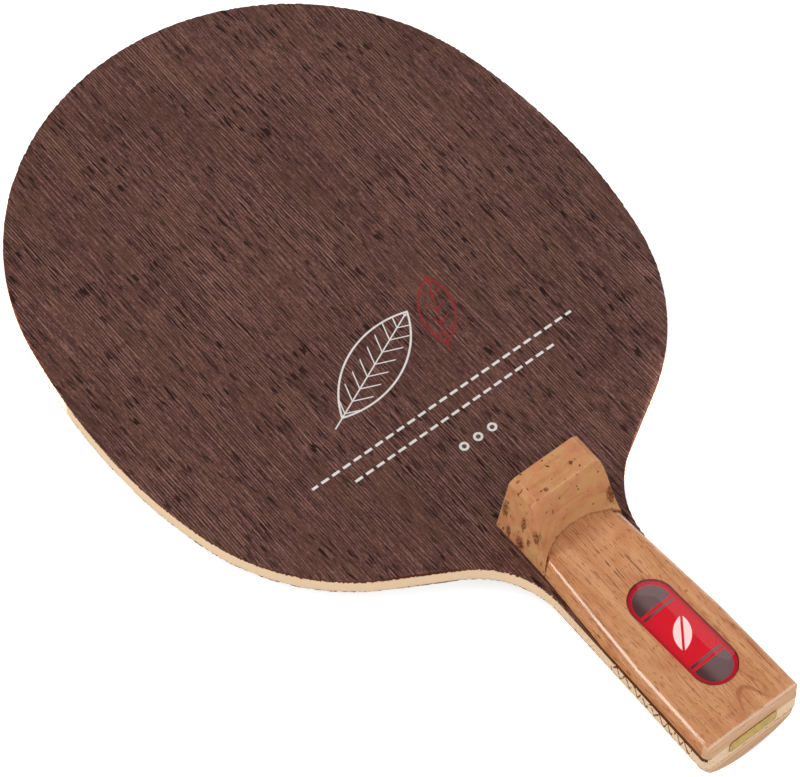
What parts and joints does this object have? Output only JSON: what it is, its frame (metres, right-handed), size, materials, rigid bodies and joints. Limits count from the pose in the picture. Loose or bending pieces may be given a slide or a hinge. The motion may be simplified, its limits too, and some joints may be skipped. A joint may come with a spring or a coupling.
{
  "type": "table tennis blade",
  "caption": "Penhold table tennis blade: laminated wooden head and tang, wooden grip scales, cork finger rest, clear badge and end plate; no rubber sheets.",
  "frame": {"origin": "on the front playing face, where the centreline crosses the widest line of the head", "axes": "+Y along the centreline to the top of the head, +Z out of the front playing face, +X to the right as seen from the front with the handle down"},
  "size_m": [0.1406, 0.238, 0.0324],
  "materials": {
    "outer_ply": "dark brown, finely striped open-pored veneer, satin",
    "inner_ply": "pale cream veneer, sanded edge",
    "core": "pale cream light wood, sanded edge",
    "scale_wood": "orange-brown wood with short dark pores under clear satin varnish",
    "cork": "natural cork, sanded, with dark flecks and pits",
    "badge_print": "printed foil in red and grey",
    "lens": "clear glossy resin",
    "plate_metal": "olive-gold anodised, satin"
  },
  "bodies": {
    "root": {"front_outer_ply": "outer_ply", "front_inner_ply": "inner_ply", "core_ply": "core", "back_inner_ply": "inner_ply", "back_outer_ply": "outer_ply", "front_scale": "scale_wood", "back_scale": "scale_wood", "finger_rest": "cork", "badge_plate": "badge_print", "badge_lens": "lens", "end_plate": "plate_metal"}
  },
  "joints": []
}
